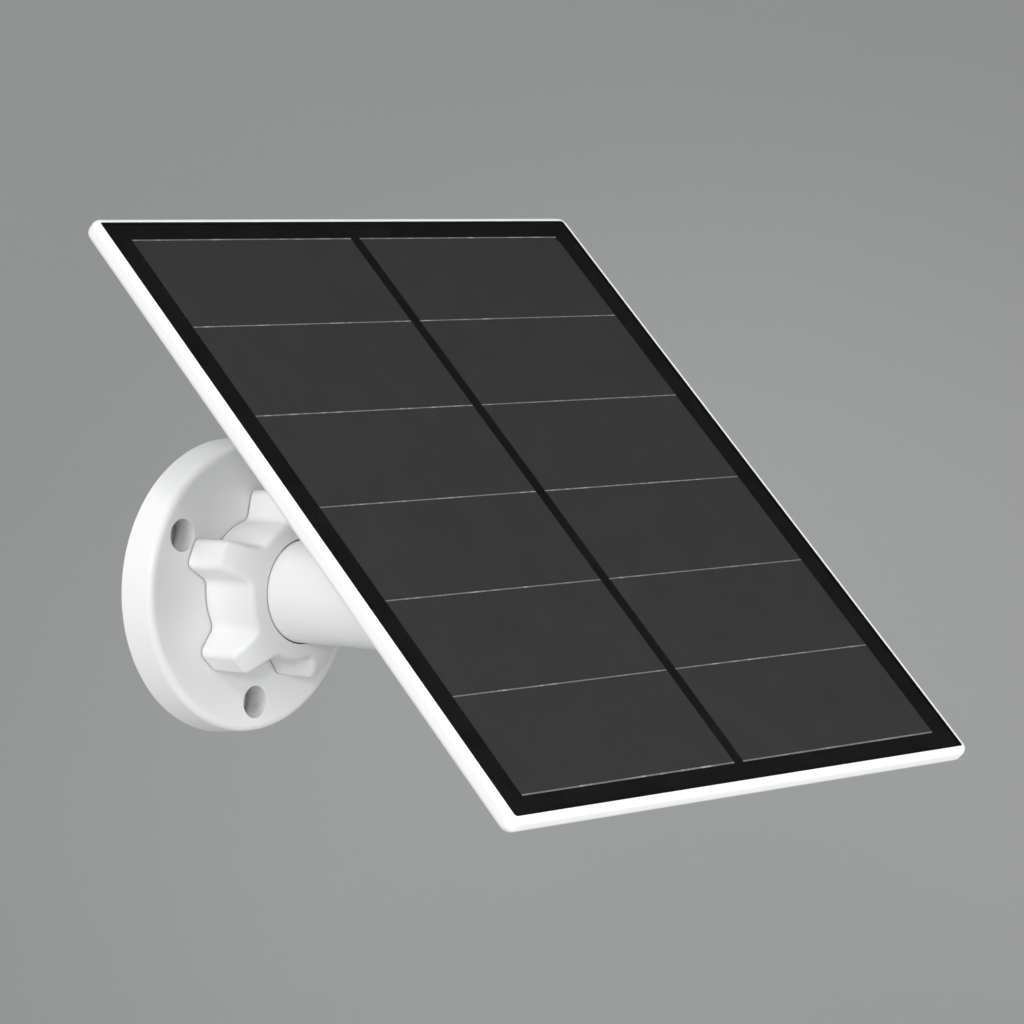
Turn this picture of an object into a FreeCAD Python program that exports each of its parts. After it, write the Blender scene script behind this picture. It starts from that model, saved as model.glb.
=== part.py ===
import FreeCAD, Part
import math
import os
from types import SimpleNamespace

import Sketcher

# Solar charging panel for a security camera on a round wall mount.
# Row frame: millimetres, origin on the mount's axis where the plate meets the wall, +Y into the wall, +Z up.
# Everything on the panel is drawn in the panel's own frame: X across it, Y up its slope, Z out of its face,
# with the origin on the tilt hinge. One placement then leans the lot back.

SIZES = {
    # wall plate and its threaded socket
    "plate_radius": 37.2,
    "plate_shoulder_radius": 36.4,
    "plate_shoulder_depth": 7.3,
    "plate_face_radius": 34.4,
    "plate_depth": 9.2,
    "plate_rim_round": 2.0,
    "plate_skin": 2.4,
    "plate_wall": 3.6,
    "socket_radius": 15.0,
    "socket_bore": 11.0,
    "socket_depth": 19.0,
    "screw_circle": 29.0,
    "screw_post_radius": 6.2,
    "wall_hole_radius": 2.25,
    "wall_recess_radius": 4.1,
    "wall_recess_floor": 2.0,
    "plate_rib_width": 2.0,
    "gasket_inner_radius": 34.8,
    "gasket_outer_radius": 36.2,
    "gasket_thickness": 1.0,
    # lock collar and the washers it squeezes
    "collar_start": 9.5,
    "collar_core_radius": 17.3,
    "collar_front": 26.5,
    "collar_thread_bore": 15.06,
    "collar_thread_end": 19.2,
    "collar_relief_bore": 15.3,
    "lip_rear": 22.6,
    "lip_bore": 13.2,
    "lobe_radius": 24.5,
    "lobe_root_half": 4.9,
    "lobe_tip_half": 3.9,
    "lobe_count": 5,
    "lobe_angle": 155.0,
    "lobe_round": 2.0,
    "flute_round": 2.6,
    "lobe_core_radius": 2.3,
    "lobe_core_circle": 20.2,
    "lobe_core_depth": 8.0,
    "dome_start": 19.8,
    "dome_radius": 19.0,
    "dome_edge_round": 1.7,
    "neck_washer_thickness": 0.6,
    "slip_washer_rear": 21.6,
    "slip_washer_thickness": 0.8,
    # neck
    "spigot_radius": 10.92,
    "spigot_start": 3.0,
    "flange_radius": 14.6,
    "flange_rear": 19.8,
    "flange_front": 21.4,
    "neck_radius": 12.9,
    "neck_end": 58.0,
    "neck_bore": 8.5,
    "neck_bore_end": 46.0,
    "neck_end_round": 2.5,
    "tongue_root": 50.0,
    "tongue_half": 5.5,
    "eye_radius": 9.5,
    "hinge_reach": 76.4,
    "panel_tilt": 44.66,
    # hinge hardware
    "bush_radius": 4.0,
    "bush_bore": 2.55,
    "hinge_washer_inner": 2.7,
    "hinge_washer_radius": 8.5,
    "hinge_washer_start": 5.75,
    "bolt_radius": 2.5,
    "bolt_head_radius": 4.6,
    "bolt_head_height": 2.8,
    "bolt_end": 14.0,
    "bolt_key_flats": 3.0,
    "bolt_key_depth": 1.6,
    "nut_flats": 8.0,
    "nut_height": 4.0,
    "nut_pocket_depth": 2.6,
    "nut_slack": 0.1,
    # panel bracket
    "ear_start": 6.4,
    "ear_width": 5.0,
    "ear_root_half": 14.0,
    "ear_hole_radius": 2.6,
    "bracket_length": 46.0,
    "bracket_height": 38.0,
    "bracket_corner": 5.0,
    "bracket_rear": 21.0,
    "bracket_edge_round": 1.0,
    "bracket_screw_x": 17.5,
    "bracket_screw_y": 13.0,
    # rear housing
    "housing_rear": 24.0,
    "housing_front": 34.5,
    "housing_length": 78.0,
    "housing_height": 62.0,
    "housing_corner": 9.0,
    "housing_wall": 1.8,
    "housing_edge_round": 2.0,
    "housing_screw_x": 32.5,
    "housing_screw_y": 24.5,
    "housing_post_radius": 4.4,
    "housing_recess_radius": 3.1,
    "housing_recess_depth": 3.0,
    "bracket_post_radius": 3.2,
    "bracket_post_front": 29.2,
    # small screws
    "screw_radius": 1.45,
    "screw_hole_radius": 1.7,
    "screw_thread_hole": 1.5,
    "screw_head_radius": 2.8,
    "screw_head_height": 1.9,
    "cross_half_length": 1.6,
    "cross_half_width": 0.4,
    "cross_depth": 0.9,
    "housing_screw_end": 37.6,
    "bracket_screw_end": 28.6,
    # charge controller
    "board_length": 62.0,
    "board_height": 28.0,
    "board_rear": 29.4,
    "board_thickness": 1.6,
    "board_screw_x": 28.0,
    "board_screw_y": 10.0,
    "board_post_radius": 2.6,
    "board_screw_radius": 1.0,
    "board_hole_radius": 1.2,
    "board_head_radius": 1.9,
    "board_head_height": 1.3,
    "board_screw_rear": 26.6,
    "coil_size": 9.0,
    "coil_height": 2.9,
    "coil_round": 1.4,
    "chip_x": 12.0,
    "chip_size": 5.0,
    "chip_height": 1.0,
    "capacitor_x": -11.5,
    "capacitor_y": 5.5,
    "capacitor_radius": 2.5,
    "capacitor_height": 2.6,
    "connector_y": -9.5,
    "connector_length": 9.0,
    "connector_depth": 5.0,
    "connector_height": 2.4,
    "connector_wall": 0.7,
    "lead_x": 4.0,
    "lead_width": 2.5,
    "lead_thickness": 0.25,
    "lead_slot_length": 16.0,
    "lead_slot_width": 4.0,
    # cable outlet
    "gland_level": 30.1,
    "gland_hole_radius": 3.4,
    "gland_thread_radius": 3.3,
    "gland_bore": 2.1,
    "gland_seal_radius": 2.75,
    "gland_flange_radius": 4.7,
    "gland_flange_width": 2.4,
    "gland_seal_start": 34.5,
    "gland_body_end": 38.5,
    "gland_inner_end": 26.6,
    "gland_cap_radius": 4.7,
    "gland_cap_start": 33.7,
    "gland_cap_end": 41.0,
    "gland_cap_bore": 3.35,
    "gland_cap_round": 1.2,
    "locknut_flats": 8.2,
    "locknut_height": 2.0,
    # panel
    "tray_length": 167.15,
    "tray_height": 183.0,
    "tray_corner": 2.6,
    "tray_rear": 35.4,
    "tray_front": 40.3,
    "tray_back_round": 2.0,
    "tray_front_round": 1.5,
    "tray_floor": 1.6,
    "tray_seat": 37.8,
    "tray_ledge": 5.0,
    "tray_boss_radius": 4.6,
    "tray_rib_width": 1.6,
    "tray_rib_x": 46.0,
    "tray_rib_y": 50.0,
    "recess_length": 163.95,
    "recess_height": 179.8,
    "recess_corner": 0.8,
    "cover_length": 163.0,
    "cover_height": 178.85,
    "cover_corner": 0.4,
    "cover_front": 40.2,
    "cover_rear": 39.9,
    "edge_seal_width": 3.0,
    "edge_seal_front": 40.15,
    "edge_seal_slack": 0.02,
    "laminate_rear": 38.1,
    "backing_thickness": 1.15,
    "cell_rear": 39.65,
    "cell_thickness": 0.2,
    "cell_field_length": 150.0,
    "cell_field_height": 168.7,
    "cell_rows": 6,
    "column_gap": 3.4,
    "row_gap": 0.4,
    "ribbon_width": 0.34,
    "ribbon_thickness": 0.15,
    "cell_clip": 1.3,
}

doc = FreeCAD.newDocument("SolarPanelMount")


class Dim:
    """A size together with the spreadsheet expression that gives it."""

    def __init__(self, value, text):
        self.value = value
        self.text = text

    def __add__(self, other):
        other = as_dim(other)
        return Dim(self.value + other.value, f"({self.text} + {other.text})")

    def __sub__(self, other):
        other = as_dim(other)
        return Dim(self.value - other.value, f"({self.text} - {other.text})")

    def __mul__(self, other):
        other = as_dim(other)
        return Dim(self.value * other.value, f"({self.text} * {other.text})")

    def __truediv__(self, other):
        other = as_dim(other)
        return Dim(self.value / other.value, f"({self.text} / {other.text})")

    def __neg__(self):
        return Dim(-self.value, f"(-1 * {self.text})")

    __radd__ = __add__
    __rmul__ = __mul__


def as_dim(size):
    return size if isinstance(size, Dim) else Dim(float(size), f"{float(size)}")


def cosine(angle):
    return Dim(math.cos(math.radians(angle.value)), f"cos({angle.text} * 1 deg)")


def sine(angle):
    return Dim(math.sin(math.radians(angle.value)), f"sin({angle.text} * 1 deg)")


def size_sheet():
    """Write every driving size to the spreadsheet and return them by name."""
    sheet = doc.addObject("Spreadsheet::Sheet", "Dims")
    for row, (name, value) in enumerate(SIZES.items(), 1):
        sheet.set(f"A{row}", name)
        sheet.set(f"B{row}", str(value))
        sheet.setAlias(f"B{row}", name)
    doc.recompute()
    return SimpleNamespace(**{name: Dim(value, f"Dims.{name}") for name, value in SIZES.items()})


d = size_sheet()


# Sketch helpers


def body(name, on_panel=False):
    """A new sub-part, in the row frame or leaning back with the panel."""
    part = doc.addObject("PartDesign::Body", name)
    part.Label = name
    part.AllowCompound = True
    if on_panel:
        lean = FreeCAD.Rotation(FreeCAD.Vector(1, 0, 0), d.panel_tilt.value)
        part.Placement = FreeCAD.Placement(FreeCAD.Vector(0, -d.hinge_reach.value, 0), lean)
        part.setExpression("Placement.Base.y", (-d.hinge_reach).text)
        part.setExpression("Placement.Rotation.Angle", f"{d.panel_tilt.text} * 1 deg")
    return part


def sketch(part, plane, height=0):
    """A sketch on one of the sub-part's own planes, lifted along that plane's normal."""
    drawing = part.newObject("Sketcher::SketchObject", f"{part.Label}_sketch")
    support = next(item for item in part.Origin.OriginFeatures if item.Role == plane)
    drawing.AttachmentSupport = (support, "")
    drawing.MapMode = "FlatFace"
    drawing.setExpression("AttachmentOffset.Base.z", as_dim(height).text)
    return drawing


def pin(drawing, geometry, point, x, y):
    """Fix a point of the sketch at x, y."""
    for kind, axis, size in (("DistanceX", -2, as_dim(x)), ("DistanceY", -1, as_dim(y))):
        if size.value == 0:
            drawing.addConstraint(Sketcher.Constraint("PointOnObject", geometry, point, axis))
            continue
        number = drawing.addConstraint(Sketcher.Constraint(kind, -1, 1, geometry, point, size.value))
        drawing.setExpression(f"Constraints[{number}]", size.text)


def circle(drawing, x, y, radius):
    x, y = as_dim(x), as_dim(y)
    centre = FreeCAD.Vector(x.value, y.value, 0)
    shape = Part.Circle(centre, FreeCAD.Vector(0, 0, 1), radius.value)
    geometry = drawing.addGeometry(shape)
    pin(drawing, geometry, 3, x, y)
    number = drawing.addConstraint(Sketcher.Constraint("Radius", geometry, radius.value))
    drawing.setExpression(f"Constraints[{number}]", radius.text)


def arc_between(start, end, radius):
    """An arc from start to end. It bulges right of the way there, or left for a negative radius."""
    chord = end - start
    middle = (start + end) * 0.5
    across = FreeCAD.Vector(-chord.y, chord.x, 0).normalize()
    rise = math.sqrt(max(radius**2 - (chord.Length / 2) ** 2, 0))
    centre = middle + across * (rise if radius > 0 else -rise)
    first, last = (start, end) if radius > 0 else (end, start)
    turn_first = math.atan2(first.y - centre.y, first.x - centre.x)
    turn_last = math.atan2(last.y - centre.y, last.x - centre.x)
    whole = Part.Circle(centre, FreeCAD.Vector(0, 0, 1), abs(radius))
    return Part.ArcOfCircle(whole, turn_first, turn_last)


def outline(drawing, corners):
    """A closed outline through corners (x, y), each with an arc radius as well if an arc leads up to it."""
    spots = [FreeCAD.Vector(as_dim(c[0]).value, as_dim(c[1]).value, 0) for c in corners]
    ends = []
    for number, corner in enumerate(corners):
        start, end = spots[number - 1], spots[number]
        if len(corner) == 2:
            geometry = drawing.addGeometry(Part.LineSegment(start, end))
            ends.append((geometry, 1, 2))
            continue
        radius = as_dim(corner[2])
        geometry = drawing.addGeometry(arc_between(start, end, radius.value))
        ends.append((geometry, 1, 2) if radius.value > 0 else (geometry, 2, 1))
        limit = drawing.addConstraint(Sketcher.Constraint("Radius", geometry, abs(radius.value)))
        drawing.setExpression(f"Constraints[{limit}]", (radius if radius.value > 0 else -radius).text)
    for number, corner in enumerate(corners):
        geometry, _, last = ends[number]
        after, first, _ = ends[(number + 1) % len(ends)]
        drawing.addConstraint(Sketcher.Constraint("Coincident", geometry, last, after, first))
        pin(drawing, geometry, last, corner[0], corner[1])


def rectangle(drawing, length, height, x=0, y=0):
    half, rise = as_dim(length) / 2, as_dim(height) / 2
    x, y = as_dim(x), as_dim(y)
    outline(drawing, [(x - half, y - rise), (x + half, y - rise), (x + half, y + rise), (x - half, y + rise)])


def round_rectangle(drawing, length, height, corner):
    half, rise = length / 2, height / 2
    outline(
        drawing,
        [
            (-half + corner, -rise, corner),
            (half - corner, -rise),
            (half, -rise + corner, corner),
            (half, rise - corner),
            (half - corner, rise, corner),
            (-half + corner, rise),
            (-half, rise - corner, corner),
            (-half, -rise + corner),
        ],
    )


def hexagon(drawing, flats, x=0, y=0):
    """A nut's outline with two corners on the level of its centre."""
    x, y = as_dim(x), as_dim(y)
    reach = flats / math.sqrt(3)
    steps = [(1, 0), (0.5, 0.5), (-0.5, 0.5), (-1, 0), (-0.5, -0.5), (0.5, -0.5)]
    outline(drawing, [(x + reach * a, y + flats * b) for a, b in steps])


# Feature helpers


def extrude(kind, part, drawing, length):
    feature = part.newObject(f"PartDesign::{kind}", f"{part.Label}_{kind}")
    feature.Profile = drawing
    feature.setExpression("Length", as_dim(length).text)
    drawing.Visibility = False
    doc.recompute()
    return feature


def pad(part, drawing, length):
    """Add material from the sketch along its plane's normal."""
    return extrude("Pad", part, drawing, length)


def pocket(part, drawing, length):
    """Cut from the sketch against its plane's normal, and make sure that something was cut."""
    before = part.Shape.Volume
    feature = extrude("Pocket", part, drawing, length)
    if part.Shape.Volume >= before:
        raise RuntimeError(f"{part.Label}: a pocket cut nothing")
    return feature


def turn(kind, part, drawing):
    feature = part.newObject(f"PartDesign::{kind}", f"{part.Label}_{kind}")
    feature.Profile = drawing
    feature.ReferenceAxis = (drawing, ["V_Axis"])
    feature.Angle = 360
    doc.recompute()
    return feature


def revolve(part, drawing):
    """Add the outline turned about the sketch's upright axis."""
    return turn("Revolution", part, drawing)


def groove(part, drawing):
    """Cut the outline turned about the sketch's upright axis."""
    before = part.Shape.Volume
    feature = turn("Groove", part, drawing)
    if part.Shape.Volume >= before:
        raise RuntimeError(f"{part.Label}: a groove cut nothing")
    return feature


def repeat_round(part, features, count):
    """Repeat features evenly round the mount's axis."""
    pattern = part.newObject("PartDesign::PolarPattern", f"{part.Label}_pattern")
    pattern.Originals = features
    axis = next(item for item in part.Origin.OriginFeatures if item.Role == "Y_Axis")
    pattern.Axis = (axis, [""])
    pattern.Angle = 360
    pattern.Occurrences = count
    part.Tip = pattern
    doc.recompute()
    return pattern


def fillet(part, radius, chosen):
    """Round the edges of the sub-part that chosen says yes to."""
    tip = part.Tip
    names = [f"Edge{n}" for n, edge in enumerate(tip.Shape.Edges, 1) if chosen(edge)]
    feature = part.newObject("PartDesign::Fillet", f"{part.Label}_fillet")
    feature.Base = (tip, names)
    feature.setExpression("Radius", radius.text)
    doc.recompute()
    return feature


def level(axis, height):
    """Says yes to edges that lie flat at a height along an axis."""

    def chosen(edge):
        box = edge.BoundBox
        low, high = getattr(box, f"{axis}Min"), getattr(box, f"{axis}Max")
        return abs(low - height.value) < 1e-4 and abs(high - height.value) < 1e-4

    return chosen


def four(x, y):
    """The four spots that mirror x, y about both axes."""
    return [(x, y), (-x, y), (-x, -y), (x, -y)]


def ring_profile(drawing, inner, outer, rear, front):
    """Half the section of a ring round the mount's axis, from rear to front as distances from the wall."""
    outline(drawing, [(inner, -rear), (outer, -rear), (outer, -front), (inner, -front)])


def ring(name, inner, outer, rear, front):
    part = body(name)
    drawing = sketch(part, "XY_Plane")
    ring_profile(drawing, inner, outer, rear, front)
    revolve(part, drawing)
    return part


# Wall mount


def plate_post(part, radius, start, length, cut=False):
    """One round post or hole at a wall screw, repeated for all three."""
    drawing = sketch(part, "XZ_Plane", start)
    circle(drawing, 0, -d.screw_circle, radius)
    feature = (pocket if cut else pad)(part, drawing, length)
    repeat_round(part, [feature], 3)


def wall_plate():
    part = body("wall_plate")
    shell = sketch(part, "XY_Plane")
    outline(
        shell,
        [
            (d.socket_bore, 0),
            (d.plate_radius, 0),
            (d.plate_shoulder_radius, -d.plate_shoulder_depth),
            (d.plate_face_radius, -d.plate_depth, -d.plate_rim_round),
            (d.socket_radius, -d.plate_depth),
            (d.socket_radius, -d.socket_depth),
            (d.socket_bore, -d.socket_depth),
        ],
    )
    revolve(part, shell)
    cavity = sketch(part, "XY_Plane")
    inner = d.socket_radius + d.plate_skin
    ring_profile(cavity, inner, d.plate_radius - d.plate_wall, 0, d.plate_depth - d.plate_skin)
    groove(part, cavity)
    plate_post(part, d.screw_post_radius, 0, d.plate_depth - d.plate_skin)
    rib = sketch(part, "XZ_Plane", d.gasket_thickness)
    rib_length = d.plate_face_radius - d.socket_radius
    rectangle(rib, d.plate_rib_width, rib_length, 0, d.socket_radius + rib_length / 2)
    feature = pad(part, rib, d.plate_depth - d.plate_skin - d.gasket_thickness)
    repeat_round(part, [feature], 3)
    seat = sketch(part, "XY_Plane")
    ring_profile(seat, d.gasket_inner_radius, d.gasket_outer_radius, 0, d.gasket_thickness)
    groove(part, seat)
    plate_post(part, d.wall_hole_radius, d.plate_depth, d.plate_depth, cut=True)
    plate_post(part, d.wall_recess_radius, d.plate_depth, d.plate_depth - d.wall_recess_floor, cut=True)
    return part


def lobe_corner(along, across):
    """A point of a lobe, along its own middle line and across it."""
    lean = d.lobe_angle
    return along * cosine(lean) - across * sine(lean), along * sine(lean) + across * cosine(lean)


def upright(edge):
    """Says yes to edges that run along the mount's axis."""
    box = edge.BoundBox
    return box.YLength > 5 and box.XLength + box.ZLength < 1e-4


def past_dome(edge):
    return edge.CenterOfMass.y < -d.dome_start.value


def off_axis(edge):
    return math.hypot(edge.CenterOfMass.x, edge.CenterOfMass.z)


def lock_collar():
    part = body("lock_collar")
    core = sketch(part, "XZ_Plane", d.collar_start)
    circle(core, 0, 0, d.collar_core_radius)
    pad(part, core, d.collar_front - d.collar_start)
    lobe = sketch(part, "XZ_Plane", d.collar_start)
    root = d.collar_core_radius - 2
    corners = [
        (root, -d.lobe_root_half),
        (d.lobe_radius, -d.lobe_tip_half),
        (d.lobe_radius, d.lobe_tip_half),
        (root, d.lobe_root_half),
    ]
    outline(lobe, [lobe_corner(*corner) for corner in corners])
    feature = pad(part, lobe, d.collar_front - d.collar_start)
    repeat_round(part, [feature], SIZES["lobe_count"])
    middle = d.collar_core_radius.value + 1
    fillet(part, d.lobe_round, lambda edge: upright(edge) and off_axis(edge) > middle)
    fillet(part, d.flute_round, lambda edge: upright(edge) and off_axis(edge) < middle)
    dome = sketch(part, "XY_Plane")
    outline(
        dome,
        [
            (d.lobe_radius + 0.5, -d.dome_start, d.dome_radius),
            (d.lobe_radius + 3, -d.dome_start),
            (d.lobe_radius + 3, -(d.collar_front + 1)),
            (d.lip_bore, -(d.collar_front + 1)),
            (d.lip_bore, -d.collar_front),
        ],
    )
    groove(part, dome)
    longest = d.lobe_radius.value
    fillet(part, d.dome_edge_round, lambda edge: past_dome(edge) and edge.Length < longest)
    bore = sketch(part, "XY_Plane")
    outline(
        bore,
        [
            (0, -d.collar_start),
            (d.collar_thread_bore, -d.collar_start),
            (d.collar_thread_bore, -d.collar_thread_end),
            (d.collar_relief_bore, -d.collar_thread_end),
            (d.collar_relief_bore, -d.lip_rear),
            (d.lip_bore, -d.lip_rear),
            (d.lip_bore, -(d.collar_front + 1)),
            (0, -(d.collar_front + 1)),
        ],
    )
    groove(part, bore)
    core_hole = sketch(part, "XZ_Plane", d.collar_start + d.lobe_core_depth)
    circle(core_hole, *lobe_corner(d.lobe_core_circle, as_dim(0)), d.lobe_core_radius)
    feature = pocket(part, core_hole, d.lobe_core_depth)
    repeat_round(part, [feature], SIZES["lobe_count"])
    return part


def neck():
    part = body("neck")
    shaft = sketch(part, "XY_Plane")
    outline(
        shaft,
        [
            (d.neck_bore, -d.spigot_start),
            (d.spigot_radius, -d.spigot_start),
            (d.spigot_radius, -d.flange_rear),
            (d.flange_radius, -d.flange_rear),
            (d.flange_radius, -d.flange_front),
            (d.neck_radius, -d.flange_front),
            (d.neck_radius, -d.neck_end),
            (0, -d.neck_end),
            (0, -d.neck_bore_end),
            (d.neck_bore, -d.neck_bore_end),
        ],
    )
    revolve(part, shaft)
    fillet(part, d.neck_end_round, level("Y", -d.neck_end))
    tongue = sketch(part, "YZ_Plane", -d.tongue_half)
    outline(
        tongue,
        [
            (-d.tongue_root, -d.eye_radius),
            (-d.tongue_root, d.eye_radius),
            (-d.hinge_reach, d.eye_radius),
            (-(d.hinge_reach + d.eye_radius), 0, d.eye_radius),
            (-d.hinge_reach, -d.eye_radius, d.eye_radius),
        ],
    )
    pad(part, tongue, d.tongue_half * 2)
    eye = sketch(part, "YZ_Plane", d.tongue_half)
    circle(eye, -d.hinge_reach, 0, d.bush_radius)
    pocket(part, eye, d.tongue_half * 2)
    return part


def hinge_bush():
    part = body("hinge_bush")
    tube = sketch(part, "YZ_Plane", -d.tongue_half)
    circle(tube, -d.hinge_reach, 0, d.bush_radius)
    circle(tube, -d.hinge_reach, 0, d.bush_bore)
    pad(part, tube, d.tongue_half * 2)
    return part


# Tilt hinge, in the panel's frame


def hinge_washers():
    part = body("hinge_washers", on_panel=True)
    width = d.ear_start - d.hinge_washer_start
    for start in (d.hinge_washer_start, -d.ear_start):
        disc = sketch(part, "YZ_Plane", start)
        circle(disc, 0, 0, d.hinge_washer_radius)
        circle(disc, 0, 0, d.hinge_washer_inner)
        pad(part, disc, width)
    return part


def hinge_bolt():
    part = body("hinge_bolt", on_panel=True)
    under_head = d.ear_start + d.ear_width
    shank = sketch(part, "YZ_Plane", -under_head)
    circle(shank, 0, 0, d.bolt_radius)
    pad(part, shank, under_head + d.bolt_end)
    head = sketch(part, "YZ_Plane", -(under_head + d.bolt_head_height))
    circle(head, 0, 0, d.bolt_head_radius)
    pad(part, head, d.bolt_head_height)
    fillet(part, d.bolt_head_height * 0.5, level("X", -(under_head + d.bolt_head_height)))
    key = sketch(part, "YZ_Plane", -(under_head + d.bolt_head_height) + d.bolt_key_depth)
    hexagon(key, d.bolt_key_flats)
    pocket(part, key, d.bolt_key_depth)
    return part


def hinge_nut():
    part = body("hinge_nut", on_panel=True)
    seat = d.ear_start + d.ear_width - d.nut_pocket_depth
    drawing = sketch(part, "YZ_Plane", seat)
    hexagon(drawing, d.nut_flats)
    circle(drawing, 0, 0, d.bolt_radius)
    pad(part, drawing, d.nut_height)
    return part


def panel_bracket():
    part = body("panel_bracket", on_panel=True)
    plate = sketch(part, "XY_Plane", d.bracket_rear)
    round_rectangle(plate, d.bracket_length, d.bracket_height, d.bracket_corner)
    pad(part, plate, d.housing_rear - d.bracket_rear)
    fillet(part, d.bracket_edge_round, level("Z", d.bracket_rear))
    for start in (d.ear_start, -(d.ear_start + d.ear_width)):
        ear = sketch(part, "YZ_Plane", start)
        outline(
            ear,
            [
                (-d.eye_radius, 0),
                (0, -d.eye_radius, d.eye_radius),
                (d.eye_radius, 0, d.eye_radius),
                (d.ear_root_half, d.bracket_rear + 1),
                (-d.ear_root_half, d.bracket_rear + 1),
            ],
        )
        pad(part, ear, d.ear_width)
        hole = sketch(part, "YZ_Plane", start + d.ear_width)
        circle(hole, 0, 0, d.ear_hole_radius)
        pocket(part, hole, d.ear_width)
    nut_seat = sketch(part, "YZ_Plane", d.ear_start + d.ear_width)
    hexagon(nut_seat, d.nut_flats + d.nut_slack * 2)
    pocket(part, nut_seat, d.nut_pocket_depth)
    holes = sketch(part, "XY_Plane", d.housing_rear)
    for x, y in four(d.bracket_screw_x, d.bracket_screw_y):
        circle(holes, x, y, d.screw_hole_radius)
    pocket(part, holes, d.housing_rear - d.bracket_rear)
    return part


def screws(name, spots, head, shank, cross_rear):
    """Identical cross-head screws. head and shank are each a radius, where it starts and how tall it is."""
    part = body(name, on_panel=True)
    for radius, start, length in (head, shank):
        drawing = sketch(part, "XY_Plane", start)
        for x, y in spots:
            circle(drawing, x, y, radius)
        pad(part, drawing, length)
    for long, wide in ((d.cross_half_length, d.cross_half_width), (d.cross_half_width, d.cross_half_length)):
        drawing = sketch(part, "XY_Plane", cross_rear + d.cross_depth)
        for x, y in spots:
            rectangle(drawing, long * 2, wide * 2, x, y)
        pocket(part, drawing, d.cross_depth)
    return part


def bracket_screws():
    seat = d.bracket_rear
    head = (d.screw_head_radius, seat - d.screw_head_height, d.screw_head_height)
    shank = (d.screw_radius, seat, d.bracket_screw_end - seat)
    spots = four(d.bracket_screw_x, d.bracket_screw_y)
    return screws("bracket_screws", spots, head, shank, seat - d.screw_head_height)


# Rear housing


def housing_outline(drawing, inset=0):
    inset = as_dim(inset)
    length, height = d.housing_length - inset * 2, d.housing_height - inset * 2
    round_rectangle(drawing, length, height, d.housing_corner - inset)


def posts(part, spots, radius, start, length, cut=False):
    """Round posts up from a height, or holes down from it."""
    drawing = sketch(part, "XY_Plane", start)
    for x, y in spots:
        circle(drawing, x, y, radius)
    return (pocket if cut else pad)(part, drawing, length)


def rear_housing():
    part = body("rear_housing", on_panel=True)
    block = sketch(part, "XY_Plane", d.housing_rear)
    housing_outline(block)
    pad(part, block, d.housing_front - d.housing_rear)
    fillet(part, d.housing_edge_round, level("Z", d.housing_rear))
    hollow = sketch(part, "XY_Plane", d.housing_front)
    housing_outline(hollow, d.housing_wall)
    floor = d.housing_rear + d.housing_wall
    pocket(part, hollow, d.housing_front - floor)
    corner_spots = four(d.housing_screw_x, d.housing_screw_y)
    bracket_spots = four(d.bracket_screw_x, d.bracket_screw_y)
    board_spots = four(d.board_screw_x, d.board_screw_y)
    posts(part, corner_spots, d.housing_post_radius, floor, d.housing_front - floor)
    posts(part, bracket_spots, d.bracket_post_radius, floor, d.bracket_post_front - floor)
    posts(part, board_spots, d.board_post_radius, floor, d.board_rear - floor)
    through = d.housing_front - d.housing_rear
    posts(part, corner_spots, d.screw_hole_radius, d.housing_front, through, cut=True)
    recess = d.housing_rear + d.housing_recess_depth
    posts(part, corner_spots, d.housing_recess_radius, recess, d.housing_recess_depth, cut=True)
    deep = d.bracket_post_front - d.housing_rear
    posts(part, bracket_spots, d.screw_thread_hole, d.bracket_post_front, deep, cut=True)
    short = d.board_rear - d.board_screw_rear
    posts(part, board_spots, d.board_screw_radius, d.board_rear, short, cut=True)
    wall_hole = sketch(part, "XZ_Plane", d.housing_height / 2)
    circle(wall_hole, 0, d.gland_level, d.gland_hole_radius)
    pocket(part, wall_hole, d.housing_wall * 1.5)
    return part


def housing_seal():
    part = body("housing_seal", on_panel=True)
    drawing = sketch(part, "XY_Plane", d.housing_front)
    housing_outline(drawing)
    housing_outline(drawing, d.housing_wall)
    pad(part, drawing, d.tray_rear - d.housing_front)
    return part


def housing_screws():
    seat = d.housing_rear + d.housing_recess_depth
    head = (d.screw_head_radius, seat - d.screw_head_height, d.screw_head_height)
    shank = (d.screw_radius, seat, d.housing_screw_end - seat)
    spots = four(d.housing_screw_x, d.housing_screw_y)
    return screws("housing_screws", spots, head, shank, seat - d.screw_head_height)


# Charge controller


def controller_board():
    part = body("controller_board", on_panel=True)
    drawing = sketch(part, "XY_Plane", d.board_rear)
    round_rectangle(drawing, d.board_length, d.board_height, as_dim(1.5))
    for x, y in four(d.board_screw_x, d.board_screw_y):
        circle(drawing, x, y, d.board_hole_radius)
    pad(part, drawing, d.board_thickness)
    return part


def board_screws():
    seat = d.board_rear + d.board_thickness
    part = body("board_screws", on_panel=True)
    spots = four(d.board_screw_x, d.board_screw_y)
    posts(part, spots, d.board_screw_radius, d.board_screw_rear, seat - d.board_screw_rear)
    posts(part, spots, d.board_head_radius, seat, d.board_head_height)
    return part


def power_coil():
    part = body("power_coil", on_panel=True)
    drawing = sketch(part, "XY_Plane", d.board_rear - d.coil_height)
    round_rectangle(drawing, d.coil_size, d.coil_size, d.coil_round)
    pad(part, drawing, d.coil_height)
    return part


def charger_chip():
    part = body("charger_chip", on_panel=True)
    drawing = sketch(part, "XY_Plane", d.board_rear + d.board_thickness)
    rectangle(drawing, d.chip_size, d.chip_size, d.chip_x)
    pad(part, drawing, d.chip_height)
    return part


def capacitors():
    part = body("capacitors", on_panel=True)
    spots = [(d.capacitor_x, d.capacitor_y), (d.capacitor_x, -d.capacitor_y)]
    posts(part, spots, d.capacitor_radius, d.board_rear + d.board_thickness, d.capacitor_height)
    return part


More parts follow.
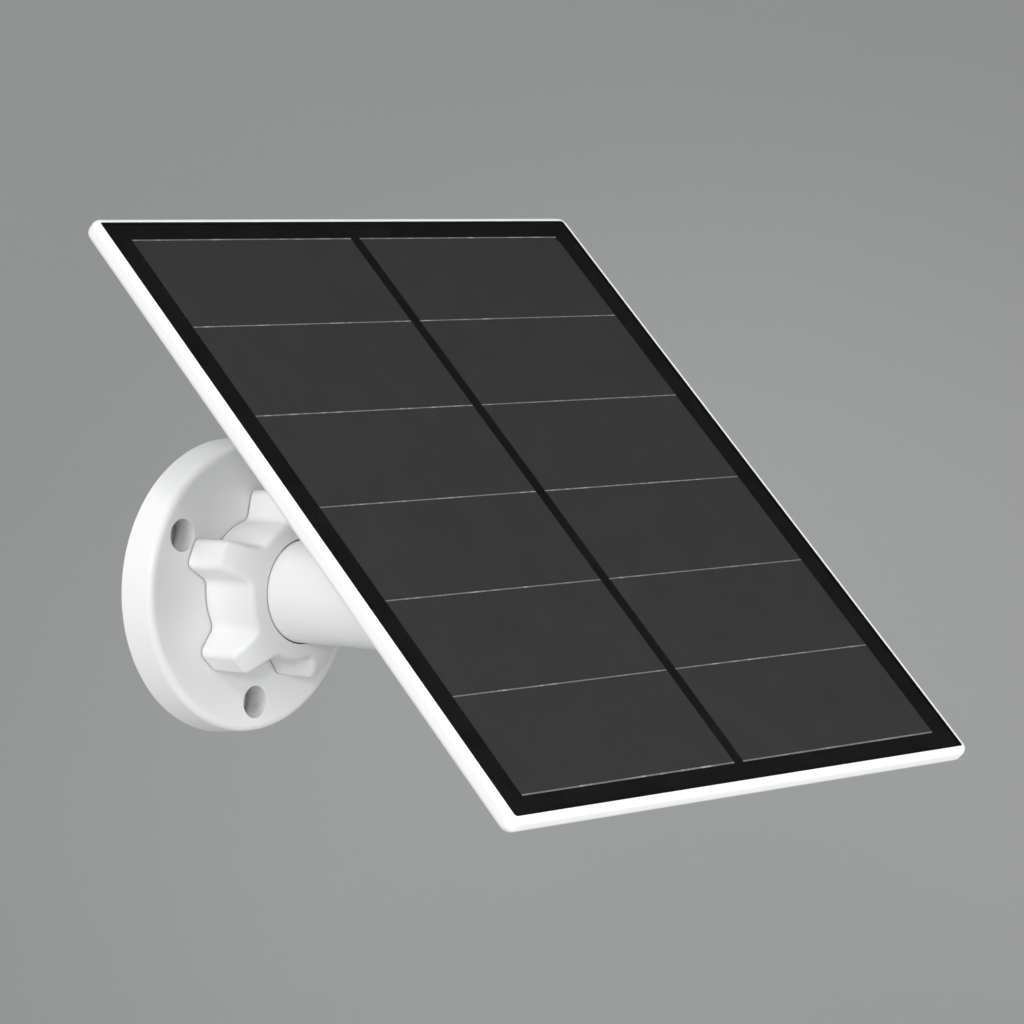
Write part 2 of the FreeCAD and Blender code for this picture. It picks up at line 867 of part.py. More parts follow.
def lead_connector():
    part = body("lead_connector", on_panel=True)
    base = d.board_rear + d.board_thickness
    block = sketch(part, "XY_Plane", base)
    rectangle(block, d.connector_length, d.connector_depth, 0, d.connector_y)
    pad(part, block, d.connector_height)
    mouth = sketch(part, "XY_Plane", base + d.connector_height)
    wall = d.connector_wall * 2
    rectangle(mouth, d.connector_length - wall, d.connector_depth - wall, 0, d.connector_y)
    pocket(part, mouth, d.connector_height - d.connector_wall)
    return part


def panel_leads():
    part = body("panel_leads", on_panel=True)
    base = d.board_rear + d.board_thickness
    drawing = sketch(part, "XY_Plane", base)
    for x in (d.lead_x, -d.lead_x):
        rectangle(drawing, d.lead_width, d.lead_thickness, x)
    pad(part, drawing, d.laminate_rear - base)
    return part


# Cable outlet, in the wall of the housing that faces down the slope


def outlet_ring(name, corners):
    """A round piece about the outlet's axis, from corners (radius, distance down the slope)."""
    part = body(name, on_panel=True)
    drawing = sketch(part, "XY_Plane", d.gland_level)
    outline(drawing, [(radius, -reach) for radius, reach in corners])
    revolve(part, drawing)
    return part


def cable_gland():
    wall = d.housing_height / 2
    return outlet_ring(
        "cable_gland",
        [
            (d.gland_bore, d.gland_inner_end),
            (d.gland_thread_radius, d.gland_inner_end),
            (d.gland_thread_radius, wall),
            (d.gland_flange_radius, wall),
            (d.gland_flange_radius, wall + d.gland_flange_width),
            (d.gland_thread_radius, wall + d.gland_flange_width),
            (d.gland_thread_radius, d.gland_body_end),
            (d.gland_seal_radius, d.gland_body_end),
            (d.gland_seal_radius, d.gland_seal_start),
            (d.gland_bore, d.gland_seal_start),
        ],
    )


def gland_seal():
    return outlet_ring(
        "gland_seal",
        [
            (d.gland_bore, d.gland_seal_start),
            (d.gland_seal_radius, d.gland_seal_start),
            (d.gland_seal_radius, d.gland_body_end),
            (d.gland_bore, d.gland_body_end),
        ],
    )


def gland_cap():
    part = outlet_ring(
        "gland_cap",
        [
            (d.gland_cap_bore, d.gland_cap_start),
            (d.gland_cap_radius, d.gland_cap_start),
            (d.gland_cap_radius, d.gland_cap_end),
            (d.gland_bore, d.gland_cap_end),
            (d.gland_bore, d.gland_body_end),
            (d.gland_cap_bore, d.gland_body_end),
        ],
    )
    fillet(part, d.gland_cap_round, lambda edge: level("Y", -d.gland_cap_end)(edge) and edge.Length > 20)
    return part


def gland_locknut():
    part = body("gland_locknut", on_panel=True)
    inside = d.housing_height / 2 - d.housing_wall
    drawing = sketch(part, "XZ_Plane", inside - d.locknut_height)
    hexagon(drawing, d.locknut_flats, 0, d.gland_level)
    circle(drawing, 0, d.gland_level, d.gland_thread_radius)
    pad(part, drawing, d.locknut_height)
    return part


# Panel


def panel_tray():
    part = body("panel_tray", on_panel=True)
    slab = sketch(part, "XY_Plane", d.tray_rear)
    round_rectangle(slab, d.tray_length, d.tray_height, d.tray_corner)
    pad(part, slab, d.tray_front - d.tray_rear)
    fillet(part, d.tray_back_round, level("Z", d.tray_rear))
    fillet(part, d.tray_front_round, level("Z", d.tray_front))
    recess = sketch(part, "XY_Plane", d.tray_front)
    round_rectangle(recess, d.recess_length, d.recess_height, d.recess_corner)
    pocket(part, recess, d.tray_front - d.tray_seat)
    hollow = sketch(part, "XY_Plane", d.tray_seat)
    ledge = d.tray_ledge * 2
    inner_length, inner_height = d.recess_length - ledge, d.recess_height - ledge
    round_rectangle(hollow, inner_length, inner_height, d.recess_corner)
    floor = d.tray_rear + d.tray_floor
    rise = d.tray_seat - floor
    pocket(part, hollow, rise)
    across = sketch(part, "XY_Plane", floor)
    along = sketch(part, "XY_Plane", floor)
    for side in (1, -1):
        rectangle(across, inner_length, d.tray_rib_width, 0, d.tray_rib_y * side)
        rectangle(along, d.tray_rib_width, inner_height, d.tray_rib_x * side, 0)
    pad(part, across, rise)
    pad(part, along, rise)
    spots = four(d.housing_screw_x, d.housing_screw_y)
    posts(part, spots, d.tray_boss_radius, floor, rise)
    posts(part, spots, d.screw_thread_hole, d.housing_screw_end, d.housing_screw_end - d.tray_rear, cut=True)
    slot = sketch(part, "XY_Plane", floor)
    rectangle(slot, d.lead_slot_length, d.lead_slot_width)
    pocket(part, slot, d.tray_floor)
    return part


def panel_cover():
    part = body("panel_cover", on_panel=True)
    drawing = sketch(part, "XY_Plane", d.cover_rear)
    round_rectangle(drawing, d.cover_length, d.cover_height, d.cover_corner)
    pad(part, drawing, d.cover_front - d.cover_rear)
    return part


def edge_seal():
    """The bead that beds the laminate on the tray's ledge and fills the slot round its edge."""
    part = body("edge_seal", on_panel=True)
    bed = sketch(part, "XY_Plane", d.tray_seat)
    round_rectangle(bed, d.recess_length, d.recess_height, d.recess_corner)
    inner = d.edge_seal_width * 2
    rectangle(bed, d.recess_length - inner, d.recess_height - inner)
    pad(part, bed, d.laminate_rear - d.tray_seat)
    rim = sketch(part, "XY_Plane", d.laminate_rear)
    round_rectangle(rim, d.recess_length, d.recess_height, d.recess_corner)
    slack = d.edge_seal_slack * 2
    rectangle(rim, d.cover_length + slack, d.cover_height + slack)
    pad(part, rim, d.edge_seal_front - d.laminate_rear)
    return part


def laminate_sheet(name, rear, thickness):
    """A sheet as wide and high as the cover."""
    part = body(name, on_panel=True)
    drawing = sketch(part, "XY_Plane", rear)
    rectangle(drawing, d.cover_length, d.cover_height)
    pad(part, drawing, thickness)
    return part


def backing_board():
    return laminate_sheet("backing_board", d.laminate_rear, d.backing_thickness)


def encapsulant():
    rear = d.laminate_rear + d.backing_thickness
    return laminate_sheet("encapsulant", rear, d.cell_rear - rear)


def cell(drawing, length, height, x, y, clip=None):
    """One cell's outline. clip cuts its upper right corner, as cells from a round wafer's rim have."""
    if clip is None:
        rectangle(drawing, length, height, x, y)
        return
    left, right = x - length / 2, x + length / 2
    low, high = y - height / 2, y + height / 2
    outline(drawing, [(left, low), (right, low), (right, high - clip), (right - clip, high), (left, high)])


def column_width():
    return (d.cell_field_length - d.column_gap) / 2


def column_middle(side):
    return (d.column_gap + column_width()) / 2 * side


def cell_string(name, side):
    """Six cells in series, one column of the panel."""
    part = body(name, on_panel=True)
    pitch = d.cell_field_height / d.cell_rows
    drawing = sketch(part, "XY_Plane", d.cell_rear)
    for row in range(SIZES["cell_rows"]):
        clip = d.cell_clip if side > 0 and row == SIZES["cell_rows"] - 1 else None
        middle = pitch * (row + 0.5) - d.cell_field_height / 2
        cell(drawing, column_width(), pitch - d.row_gap, column_middle(side), middle, clip)
    pad(part, drawing, d.cell_thickness)
    return part


def cell_ribbons():
    part = body("cell_ribbons", on_panel=True)
    pitch = d.cell_field_height / d.cell_rows
    drawing = sketch(part, "XY_Plane", d.cell_rear)
    for side in (1, -1):
        for row in range(SIZES["cell_rows"] + 1):
            middle = pitch * row - d.cell_field_height / 2
            rectangle(drawing, column_width(), d.ribbon_width, column_middle(side), middle)
    pad(part, drawing, d.ribbon_thickness)
    return part


def build():
    socket_end = d.socket_depth
    washer_front = socket_end + d.neck_washer_thickness
    slip_front = d.slip_washer_rear + d.slip_washer_thickness
    return [
        wall_plate(),
        ring("wall_gasket", d.gasket_inner_radius, d.gasket_outer_radius, as_dim(0), d.gasket_thickness),
        ring("neck_washer", d.socket_bore, d.flange_radius, socket_end, washer_front),
        ring("slip_washer", d.lip_bore, d.socket_radius, d.slip_washer_rear, slip_front),
        lock_collar(),
        neck(),
        hinge_bush(),
        hinge_washers(),
        hinge_bolt(),
        hinge_nut(),
        panel_bracket(),
        bracket_screws(),
        rear_housing(),
        housing_seal(),
        housing_screws(),
        controller_board(),
        board_screws(),
        power_coil(),
        charger_chip(),
        capacitors(),
        lead_connector(),
        panel_leads(),
        cable_gland(),
        gland_seal(),
        gland_cap(),
        gland_locknut(),
        panel_tray(),
        panel_cover(),
        edge_seal(),
        backing_board(),
        encapsulant(),
        cell_string("cells_left", -1),
        cell_string("cells_right", 1),
        cell_ribbons(),
    ]


def check(parts):
    """Stop before anything is written if any object is broken."""
    for item in doc.Objects:
        if "Invalid" in item.State or "Error" in item.State:
            raise RuntimeError(f"{item.Label}: {item.State}")
    for part in parts:
        if part.Shape.isNull() or not part.Shape.isValid() or not part.Shape.Solids:
            raise RuntimeError(f"{part.Label}: bad shape")


def main():
    parts = build()
    doc.recompute()
    check(parts)
    os.makedirs("parts", exist_ok=True)
    for part in parts:
        part.Shape.exportStep(os.path.join("parts", f"{part.Label}.step"))
        print(part.Label, len(part.Shape.Solids), round(part.Shape.Volume, 1))


main()
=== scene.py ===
import math

import bpy
import bmesh
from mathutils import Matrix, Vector

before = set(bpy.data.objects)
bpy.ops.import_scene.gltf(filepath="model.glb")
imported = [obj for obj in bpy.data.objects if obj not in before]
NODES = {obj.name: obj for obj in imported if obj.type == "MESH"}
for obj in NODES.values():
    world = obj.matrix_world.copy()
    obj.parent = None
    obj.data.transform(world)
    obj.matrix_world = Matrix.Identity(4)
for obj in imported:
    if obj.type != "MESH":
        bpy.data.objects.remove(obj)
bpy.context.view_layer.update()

# Solar charging panel on a round wall mount. Metres, in the row frame: the mount's axis meets the wall at the
# origin, the wall is the plane Y = 0 and the panel stands out along -Y.

MM = 0.001
# Painted shade: the next four constants darken moulded plastic's base colour by ambient occlusion in corners,
# recesses and between parts.
PAINTED_SHADE_REACH = 0.012  # how far off a wall still counts as a corner
PAINTED_SHADE_START = 0.74  # how closed in a point must be before painted shade darkens it
PAINTED_SHADE_SHARE = 0.8  # the most that a corner takes of the painted shade colour
PAINTED_SHADE_TINT = (0.30, 0.29, 0.28)  # the painted shade colour as a share of the unshaded one
TILT = math.radians(44.66)  # how far the panel leans back from lying flat
HINGE = Vector((0, -76.4, 0)) * MM  # the tilt hinge, where the panel's own frame starts


# Node helpers


def new_material(name):
    """A material with one Principled shader. Returns it, its nodes, its links and the shader."""
    material = bpy.data.materials.new(name)
    material.use_nodes = True
    tree = material.node_tree
    shader = tree.nodes["Principled BSDF"]
    return material, tree.nodes, tree.links, shader


def coordinates(nodes, links, scale=(1, 1, 1), lean=0.0):
    """Object coordinates in millimetres, turned back by lean about X and stretched by scale."""
    source = nodes.new("ShaderNodeTexCoord")
    mapping = nodes.new("ShaderNodeMapping")
    mapping.vector_type = "POINT"
    mapping.inputs["Scale"].default_value = [1 / MM * s for s in scale]
    if lean:
        turned = nodes.new("ShaderNodeVectorRotate")
        turned.rotation_type = "X_AXIS"
        turned.inputs["Angle"].default_value = -lean
        turned.inputs["Center"].default_value = HINGE
        links.new(source.outputs["Object"], turned.inputs["Vector"])
        links.new(turned.outputs["Vector"], mapping.inputs["Vector"])
    else:
        links.new(source.outputs["Object"], mapping.inputs["Vector"])
    return mapping.outputs["Vector"]


def noise(nodes, links, vector, size, detail=3.0, roughness=0.55):
    """Noise whose blotches are about size millimetres across."""
    texture = nodes.new("ShaderNodeTexNoise")
    texture.inputs["Scale"].default_value = 1 / size
    texture.inputs["Detail"].default_value = detail
    texture.inputs["Roughness"].default_value = roughness
    links.new(vector, texture.inputs["Vector"])
    return texture.outputs["Fac"]


def spread(nodes, links, value, low, high, from_low=0.3, from_high=0.7):
    """Map a 0 to 1 value onto low to high."""
    node = nodes.new("ShaderNodeMapRange")
    node.inputs["From Min"].default_value = from_low
    node.inputs["From Max"].default_value = from_high
    node.inputs["To Min"].default_value = low
    node.inputs["To Max"].default_value = high
    links.new(value, node.inputs["Value"])
    return node.outputs["Result"]


def blend_colours(nodes, links, factor, first, second):
    """Mix two colours. Each is a tuple or an output socket."""
    node = nodes.new("ShaderNodeMix")
    node.data_type = "RGBA"
    links.new(factor, node.inputs["Factor"])
    for socket, colour in ((node.inputs["A"], first), (node.inputs["B"], second)):
        if isinstance(colour, tuple):
            socket.default_value = (*colour, 1)
        else:
            links.new(colour, socket)
    return node.outputs["Result"]


def bump(nodes, links, shader, heights):
    """Add relief to a shader. heights are pairs of a 0 to 1 socket and its depth in millimetres."""
    normal = None
    for height, depth in heights:
        node = nodes.new("ShaderNodeBump")
        node.inputs["Strength"].default_value = 1.0
        node.inputs["Distance"].default_value = depth * MM
        links.new(height, node.inputs["Height"])
        if normal is not None:
            links.new(normal, node.inputs["Normal"])
        normal = node.outputs["Normal"]
    links.new(normal, shader.inputs["Normal"])


def soft_edges(nodes, links, shader, radius):
    """Round the shading of sharp edges over a radius in millimetres, beneath any relief the shader has."""
    bevel = nodes.new("ShaderNodeBevel")
    bevel.samples = 4
    bevel.inputs["Radius"].default_value = radius * MM
    normal = shader.inputs["Normal"]
    while normal.is_linked:
        normal = normal.links[0].from_node.inputs["Normal"]
    links.new(bevel.outputs["Normal"], normal)


def calculate(nodes, links, operation, first, second=None):
    """One Math node on sockets or plain numbers."""
    node = nodes.new("ShaderNodeMath")
    node.operation = operation
    for socket, value in zip(node.inputs, (first, second)):
        if value is None:
            continue
        if isinstance(value, (int, float)):
            socket.default_value = value
        else:
            links.new(value, socket)
    return node.outputs["Value"]


def axis_of(nodes, links, vector, axis):
    """One component, X, Y or Z, of a vector."""
    split = nodes.new("ShaderNodeSeparateXYZ")
    links.new(vector, split.inputs["Vector"])
    return split.outputs[axis]


def painted_corner_shade(nodes, links):
    """Painted shade from ambient occlusion: how far a point in a corner or recess takes the darker colour,
    nought in the open, up to the corner share deep inside.
    """
    hollow = nodes.new("ShaderNodeAmbientOcclusion")
    hollow.samples = 8
    hollow.inputs["Distance"].default_value = PAINTED_SHADE_REACH
    closed = calculate(nodes, links, "SUBTRACT", 1.0, hollow.outputs["AO"])
    return spread(nodes, links, closed, 0, PAINTED_SHADE_SHARE, PAINTED_SHADE_START, 1.0)


# Materials


def moulded_plastic(name, colour, roughness, grain=0.004, wave=0.012, lean=0.0):
    """Injection-moulded plastic: a fine eroded grain, faint flow marks, a slightly uneven gloss and painted
    shade that darkens its colour in corners and recesses.
    """
    material, nodes, links, shader = new_material(name)
    place = coordinates(nodes, links, lean=lean)
    flow = noise(nodes, links, place, 38, detail=2)
    patches = noise(nodes, links, place, 7, detail=4)
    fine = noise(nodes, links, place, 0.28, detail=2, roughness=0.7)
    dull = tuple(channel * 0.965 for channel in colour)
    unshaded_colour = blend_colours(nodes, links, spread(nodes, links, flow, 0, 1), colour, dull)
    # Painted shade: the colour darkens towards this tint in corners, recesses and gaps between parts, found
    # by ambient occlusion.
    painted_shade_colour = tuple(channel * share for channel, share in zip(colour, PAINTED_SHADE_TINT))
    links.new(blend_colours(nodes, links, painted_corner_shade(nodes, links), unshaded_colour, painted_shade_colour), shader.inputs["Base Color"])
    uneven = spread(nodes, links, patches, roughness - 0.05, roughness + 0.06)
    links.new(uneven, shader.inputs["Roughness"])
    shader.inputs["IOR"].default_value = 1.5
    bump(nodes, links, shader, [(flow, wave), (fine, grain)])
    soft_edges(nodes, links, shader, 0.2)
    return material


def rubber(name, colour, roughness=0.75, cell=0.5):
    """Rubber or foam with a fine pebbled skin."""
    material, nodes, links, shader = new_material(name)
    place = coordinates(nodes, links)
    pebbles = nodes.new("ShaderNodeTexVoronoi")
    pebbles.inputs["Scale"].default_value = 1 / cell
    links.new(place, pebbles.inputs["Vector"])
    dust = noise(nodes, links, place, 5, detail=4)
    pale = tuple(min(channel * 1.8 + 0.01, 1) for channel in colour)
    dusty = blend_colours(nodes, links, spread(nodes, links, dust, 0, 0.6), colour, pale)
    links.new(dusty, shader.inputs["Base Color"])
    links.new(spread(nodes, links, dust, roughness - 0.1, roughness + 0.1), shader.inputs["Roughness"])
    bump(nodes, links, shader, [(pebbles.outputs["Distance"], 0.03)])
    return material


def turned_metal(name, colour, roughness=0.3, streak=(0.04, 1, 1), lean=0.0):
    """Machined metal with fine tool marks, drawn out along the axis whose streak value is smallest."""
    material, nodes, links, shader = new_material(name)
    shader.inputs["Metallic"].default_value = 1.0
    place = coordinates(nodes, links, lean=lean)
    drawn = coordinates(nodes, links, scale=streak, lean=lean)
    marks = noise(nodes, links, drawn, 0.12, detail=2)
    stain = noise(nodes, links, place, 2.5, detail=4)
    worn = tuple(channel * 0.72 for channel in colour)
    stained = blend_colours(nodes, links, spread(nodes, links, stain, 0, 1), colour, worn)
    links.new(stained, shader.inputs["Base Color"])
    links.new(spread(nodes, links, marks, roughness - 0.08, roughness + 0.14), shader.inputs["Roughness"])
    bump(nodes, links, shader, [(marks, 0.004)])
    soft_edges(nodes, links, shader, 0.12)
    return material


FINGER_PITCH = 1.25  # millimetres between the cells' printed fingers
FINGER_WIDTH = 0.06
FINGER_SHARE = 0.35  # how much of its own colour a finger shows
FINGER_COLOUR = (0.12, 0.12, 0.12)
SILICON_DARK = (0.0300, 0.0300, 0.0312)
SILICON_PALE = (0.0345, 0.0342, 0.0342)


def silicon(name):
    """Dark grey coated silicon with faint mottling and fine fingers."""
    material, nodes, links, shader = new_material(name)
    place = coordinates(nodes, links, lean=TILT)
    across = axis_of(nodes, links, place, "X")
    step = calculate(nodes, links, "PINGPONG", across, FINGER_PITCH / 2)
    finger = calculate(nodes, links, "LESS_THAN", step, FINGER_WIDTH / 2)
    mottle = noise(nodes, links, place, 9, detail=5)
    grain = noise(nodes, links, place, 0.35, detail=2)
    plain = blend_colours(nodes, links, spread(nodes, links, mottle, 0, 1), SILICON_DARK, SILICON_PALE)
    printed = calculate(nodes, links, "MULTIPLY", finger, FINGER_SHARE)
    lined = blend_colours(nodes, links, printed, plain, FINGER_COLOUR)
    links.new(lined, shader.inputs["Base Color"])
    links.new(spread(nodes, links, grain, 0.42, 0.56), shader.inputs["Roughness"])
    shader.inputs["Specular IOR Level"].default_value = 0.12
    bump(nodes, links, shader, [(grain, 0.001)])
    return material


def black_laminate(name, colour=(0.0052, 0.0052, 0.0055)):
    """The black sheet behind the cells, with the weave of its scrim just showing."""
    material, nodes, links, shader = new_material(name)
    place = coordinates(nodes, links, lean=TILT)
    weave = nodes.new("ShaderNodeTexWave")
    weave.inputs["Scale"].default_value = 0.9
    weave.inputs["Distortion"].default_value = 0.4
    links.new(place, weave.inputs["Vector"])
    mottle = noise(nodes, links, place, 6, detail=4)
    pale = tuple(channel * 1.35 for channel in colour)
    mottled = blend_colours(nodes, links, spread(nodes, links, mottle, 0, 1), colour, pale)
    links.new(mottled, shader.inputs["Base Color"])
    links.new(spread(nodes, links, mottle, 0.5, 0.7), shader.inputs["Roughness"])
    shader.inputs["Specular IOR Level"].default_value = 0.1
    bump(nodes, links, shader, [(weave.outputs["Fac"], 0.004)])
    return material


def solder_ribbon(name):
    """Tinned copper wire: dull pinkish grey with brighter beads of solder along it."""
    material, nodes, links, shader = new_material(name)
    place = coordinates(nodes, links, lean=TILT)
    beads = noise(nodes, links, place, 3.2, detail=3, roughness=0.7)
    spots = spread(nodes, links, beads, 0, 1, 0.5, 0.68)
    soldered = blend_colours(nodes, links, spots, (0.26, 0.225, 0.215), (0.55, 0.50, 0.48))
    links.new(soldered, shader.inputs["Base Color"])
    links.new(spread(nodes, links, beads, 0.35, 0.6), shader.inputs["Roughness"])
    shader.inputs["Metallic"].default_value = 0.3
    bump(nodes, links, shader, [(beads, 0.02)])
    return material


COVER_IOR = 1.16  # lower than plastic's, for a coated face that mirrors very little


def cover_film(name):
    """Clear film with a matt anti-glare face: it shows what lies behind and mirrors very little."""
    material, nodes, links, shader = new_material(name)
    nodes.remove(shader)
    place = coordinates(nodes, links, lean=TILT)
    pits = noise(nodes, links, place, 0.6, detail=3)
    smear = noise(nodes, links, place, 45, detail=3)
    clear = nodes.new("ShaderNodeBsdfTransparent")
    clear.inputs["Color"].default_value = (0.985, 0.99, 0.988, 1)
    gloss = nodes.new("ShaderNodeBsdfGlossy")
    gloss.inputs["Color"].default_value = (1, 1, 1, 1)
    fine = spread(nodes, links, pits, 0.20, 0.30)
    rough = calculate(nodes, links, "ADD", fine, spread(nodes, links, smear, 0, 0.06))
    links.new(rough, gloss.inputs["Roughness"])
    mirror = nodes.new("ShaderNodeFresnel")
    mirror.inputs["IOR"].default_value = COVER_IOR
    side = nodes.new("ShaderNodeNewGeometry")
    outside = calculate(nodes, links, "SUBTRACT", 1.0, side.outputs["Backfacing"])
    mix = nodes.new("ShaderNodeMixShader")
    links.new(calculate(nodes, links, "MULTIPLY", mirror.outputs["Fac"], outside), mix.inputs["Fac"])
    links.new(clear.outputs["BSDF"], mix.inputs[1])
    links.new(gloss.outputs["BSDF"], mix.inputs[2])
    output = next(node for node in nodes if node.type == "OUTPUT_MATERIAL")
    links.new(mix.outputs["Shader"], output.inputs["Surface"])
    return material


def circuit_board(name):
    """Green solder mask over copper tracks."""
    material, nodes, links, shader = new_material(name)
    place = coordinates(nodes, links, lean=TILT)
    tracks = nodes.new("ShaderNodeTexBrick")
    tracks.inputs["Scale"].default_value = 0.16
    tracks.inputs["Mortar Size"].default_value = 0.05
    links.new(place, tracks.inputs["Vector"])
    mottle = noise(nodes, links, place, 3, detail=4)
    uneven = spread(nodes, links, mottle, 0, 1)
    mask = blend_colours(nodes, links, uneven, (0.01, 0.11, 0.035), (0.014, 0.14, 0.05))
    printed = blend_colours(nodes, links, tracks.outputs["Fac"], mask, (0.03, 0.24, 0.09))
    links.new(printed, shader.inputs["Base Color"])
    links.new(spread(nodes, links, mottle, 0.28, 0.42), shader.inputs["Roughness"])
    bump(nodes, links, shader, [(tracks.outputs["Fac"], 0.03)])
    return material


def dress(material, *names):
    """Give CAD nodes a material."""
    for name in names:
        mesh = NODES[name].data
        mesh.materials.clear()
        mesh.materials.append(material)


WHITE = (0.86, 0.865, 0.86)

dress(moulded_plastic("plate_plastic", WHITE, 0.42, grain=0.006), "wall_plate")
dress(moulded_plastic("collar_plastic", WHITE, 0.36), "lock_collar")
dress(moulded_plastic("neck_plastic", WHITE, 0.34), "neck")
dress(moulded_plastic("tray_plastic", WHITE, 0.38, lean=TILT), "panel_tray")
housing_plastic = moulded_plastic("housing_plastic", WHITE, 0.42, grain=0.006, lean=TILT)
dress(housing_plastic, "rear_housing", "panel_bracket")
gland_plastic = moulded_plastic("gland_plastic", (0.80, 0.80, 0.79), 0.45, lean=TILT)
dress(gland_plastic, "cable_gland", "gland_cap", "gland_locknut")
bearing_plastic = moulded_plastic("bearing_plastic", (0.62, 0.60, 0.54), 0.5)
dress(bearing_plastic, "neck_washer", "slip_washer", "hinge_washers")
dress(moulded_plastic("chip_plastic", (0.018, 0.018, 0.018), 0.5, lean=TILT), "charger_chip")
dress(moulded_plastic("ferrite", (0.05, 0.05, 0.055), 0.6, grain=0.02, lean=TILT), "power_coil")
dress(moulded_plastic("connector_plastic", (0.78, 0.74, 0.60), 0.4, lean=TILT), "lead_connector")
dress(rubber("foam", (0.03, 0.03, 0.03), cell=0.4), "wall_gasket")
dress(rubber("seal_rubber", (0.015, 0.015, 0.015)), "housing_seal", "gland_seal")
steel = turned_metal("steel", (0.60, 0.60, 0.61), lean=TILT)
dress(steel, "hinge_bolt", "hinge_nut", "bracket_screws", "housing_screws", "board_screws")
dress(turned_metal("brass", (0.72, 0.52, 0.22)), "hinge_bush")
dress(turned_metal("drawn_can", (0.75, 0.75, 0.76), 0.25, lean=TILT), "capacitors")
dress(turned_metal("copper_lead", (0.72, 0.42, 0.28), lean=TILT), "panel_leads")
dress(silicon("silicon"), "cells_left", "cells_right")
dress(solder_ribbon("solder_ribbon"), "cell_ribbons")
dress(black_laminate("black_laminate"), "backing_board", "encapsulant")
dress(black_laminate("edge_silicone", (0.0040, 0.0040, 0.0042)), "edge_seal")
dress(cover_film("cover_film"), "panel_cover")
dress(circuit_board("circuit_board"), "controller_board")


# Stage, lights and camera

FLOOR_HEIGHT = -0.85
FLOOR_RADIUS = 2.2
FLOOR_BEND = 1.2
WALL_TOP = 1.5
BEND_STEPS = 16
ROUND_STEPS = 96
GLOW_ANGLE = math.radians(50)
GLOW_SOFTNESS = 0.2
FLAG_DISTANCE = 1.3
FLAG_SIZE = 1.6
CAMERA_PLACE = Vector((-0.7701, -0.7734, 0.0948))
CAMERA_AZIMUTH = math.radians(-48.64)
CAMERA_ELEVATION = math.radians(4.007)
CAMERA_LENS = 152.0


def stage_bowl():
    """A pale floor that sweeps up into a wall all round, so that every view has the same plain ground."""
    floor, flat, bend, top = FLOOR_HEIGHT, FLOOR_RADIUS, FLOOR_BEND, WALL_TOP
    profile = [(0.001, floor), (flat * 0.5, floor)]
    steps = BEND_STEPS
    for step in range(steps + 1):
        angle = math.pi / 2 * step / steps
        profile.append((flat + bend * math.sin(angle), floor + bend * (1 - math.cos(angle))))
    profile.append((flat + bend, top))
    mesh = bmesh.new()
    spine = [mesh.verts.new((radius, 0, height)) for radius, height in profile]
    edges = [mesh.edges.new(pair) for pair in zip(spine, spine[1:])]
    around = {"cent": (0, 0, 0), "axis": (0, 0, 1), "angle": math.tau, "steps": ROUND_STEPS}
    bmesh.ops.spin(mesh, geom=spine + edges, use_merge=True, **around)
    for face in mesh.faces:
        face.smooth = True
    data = bpy.data.meshes.new("studio_floor")
    mesh.to_mesh(data)
    mesh.free()
    bowl = bpy.data.objects.new("studio_floor", data)
    bpy.context.collection.objects.link(bowl)
    material, nodes, links, shader = new_material("studio_paper")
    place = coordinates(nodes, links)
    shade = noise(nodes, links, place, 700, detail=2)
    paper = blend_colours(nodes, links, shade, (0.68, 0.685, 0.68), (0.72, 0.725, 0.72))
    links.new(paper, shader.inputs["Base Color"])
    shader.inputs["Roughness"].default_value = 0.9
    data.materials.append(material)


def area_light(name, towards, distance, size, power, spread=180, target=(0, -0.07, 0.01)):
    """A square soft light facing the object. spread is its beam in degrees, 180 for a bare panel."""
    light = bpy.data.lights.new(name, "AREA")
    light.shape = "SQUARE"
    light.size = size
    light.energy = power
    light.spread = math.radians(spread)
    lamp = bpy.data.objects.new(name, light)
    bpy.context.collection.objects.link(lamp)
    way = Vector(towards).normalized()
    lamp.location = Vector(target) + way * distance
    lamp.rotation_mode = "QUATERNION"
    lamp.rotation_quaternion = (-way).to_track_quat("-Z", "Y")
    lamp.visible_camera = False
    return lamp


def black_flag(towards):
    """A black card beside the set that only mirrors can see: it keeps the panel's face free of glare."""
    way = Vector(towards).normalized()
    middle = way * FLAG_DISTANCE
    across = way.cross(Vector((0, 0, 1))).normalized() * FLAG_SIZE / 2
    rise = across.cross(way).normalized() * FLAG_SIZE / 2
    corners = [middle + across + rise, middle - across + rise, middle - across - rise, middle + across - rise]
    data = bpy.data.meshes.new("black_flag")
    data.from_pydata([tuple(corner) for corner in corners], [], [(0, 1, 2, 3)])
    card = bpy.data.objects.new("black_flag", data)
    bpy.context.collection.objects.link(card)
    material, nodes, links, shader = new_material("flag_cloth")
    shader.inputs["Base Color"].default_value = (0.002, 0.002, 0.002, 1)
    shader.inputs["Roughness"].default_value = 1.0
    shader.inputs["Specular IOR Level"].default_value = 0.0
    data.materials.append(material)
    for rays in ("camera", "diffuse", "transmission", "volume_scatter", "shadow"):
        setattr(card, f"visible_{rays}", False)


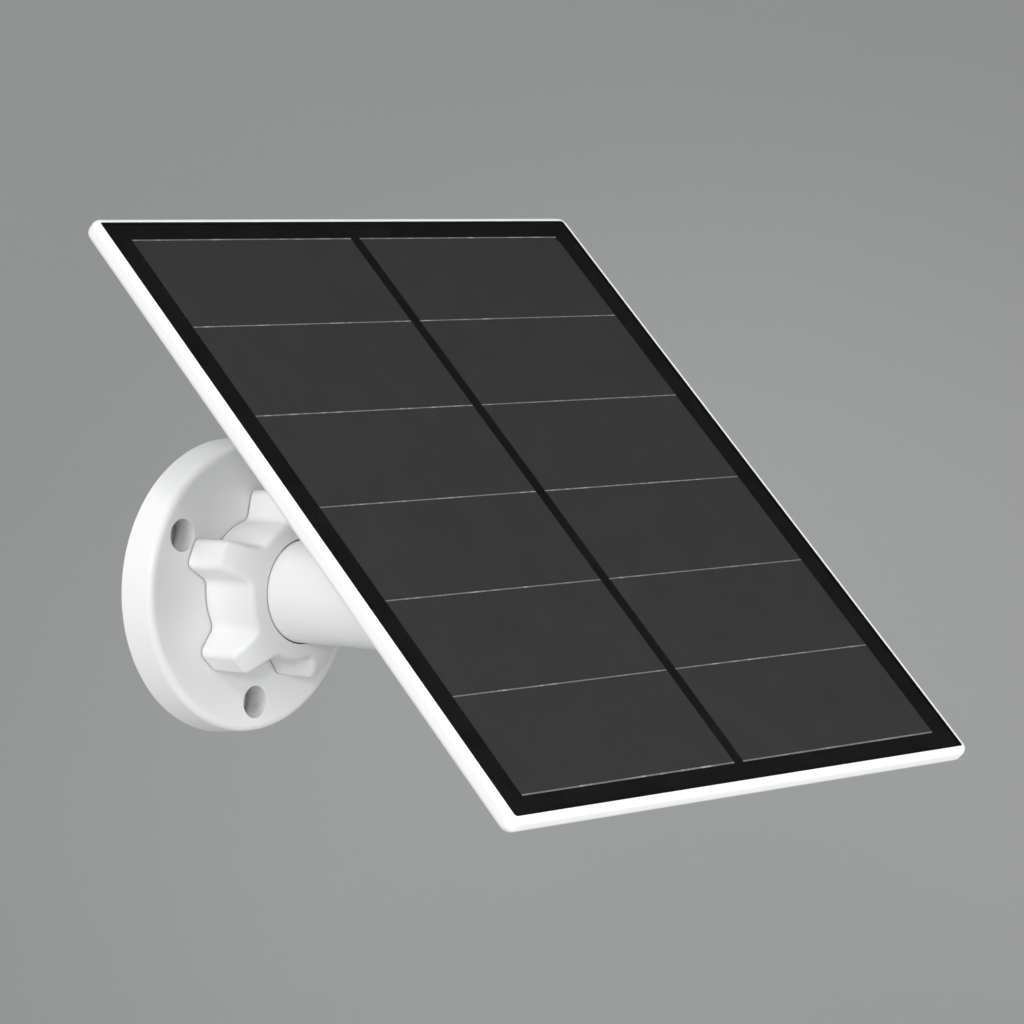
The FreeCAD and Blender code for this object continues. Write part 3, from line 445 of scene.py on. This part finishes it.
def backdrop_glow(place, target, power):
    """A pool of light on the backdrop, behind the object."""
    light = bpy.data.lights.new("backdrop_glow", "SPOT")
    light.energy = power
    light.spot_size = GLOW_ANGLE
    light.spot_blend = 1.0
    light.shadow_soft_size = GLOW_SOFTNESS
    lamp = bpy.data.objects.new("backdrop_glow", light)
    bpy.context.collection.objects.link(lamp)
    lamp.location = place
    lamp.rotation_mode = "QUATERNION"
    lamp.rotation_quaternion = (Vector(target) - Vector(place)).to_track_quat("-Z", "Y")


def world_light(strength):
    """Even light from all round."""
    world = bpy.data.worlds.new("studio_air")
    world.use_nodes = True
    background = world.node_tree.nodes["Background"]
    background.inputs["Color"].default_value = (0.97, 0.98, 1.0, 1)
    background.inputs["Strength"].default_value = strength
    bpy.context.scene.world = world


def camera():
    """The photograph's viewpoint, solved from points of the cell grid and the black face."""
    data = bpy.data.cameras.new("camera")
    data.lens = CAMERA_LENS
    data.sensor_width = 36
    data.clip_start = 0.01
    data.clip_end = 50
    seat = bpy.data.objects.new("camera", data)
    bpy.context.collection.objects.link(seat)
    flat = math.cos(CAMERA_ELEVATION)
    sideways, forward = math.sin(CAMERA_AZIMUTH) * flat, -math.cos(CAMERA_AZIMUTH) * flat
    back = Vector((sideways, forward, math.sin(CAMERA_ELEVATION)))
    seat.location = CAMERA_PLACE
    seat.rotation_mode = "QUATERNION"
    seat.rotation_quaternion = (-back).to_track_quat("-Z", "Y")
    bpy.context.scene.camera = seat


stage_bowl()
world_light(0.34)
area_light("key", (-1.3, -1.0, 0.35), 1.6, 0.14, 5)
area_light("high_key", (-1.1, -1.0, 0.8), 1.6, 0.10, 3.5)
left_fill = area_light("left_fill", (-1.0, -0.1, 0.1), 1.5, 0.9, 3.3, 90)
left_fill.visible_glossy = False  # its image would burn out the panel's face seen from the right
area_light("front_fill", (0.1, -1.0, 0.0), 1.6, 0.8, 6.6, 90)
area_light("top_fill", (-0.5, 0.5, 1.0), 1.5, 0.9, 4.5)
backdrop_glow((1.66, 1.18, 1.16), (2.33, 1.65, -0.1), 14)
black_flag((0.749, -0.062, 0.659))
camera()
bpy.context.scene.view_settings.view_transform = "Standard"
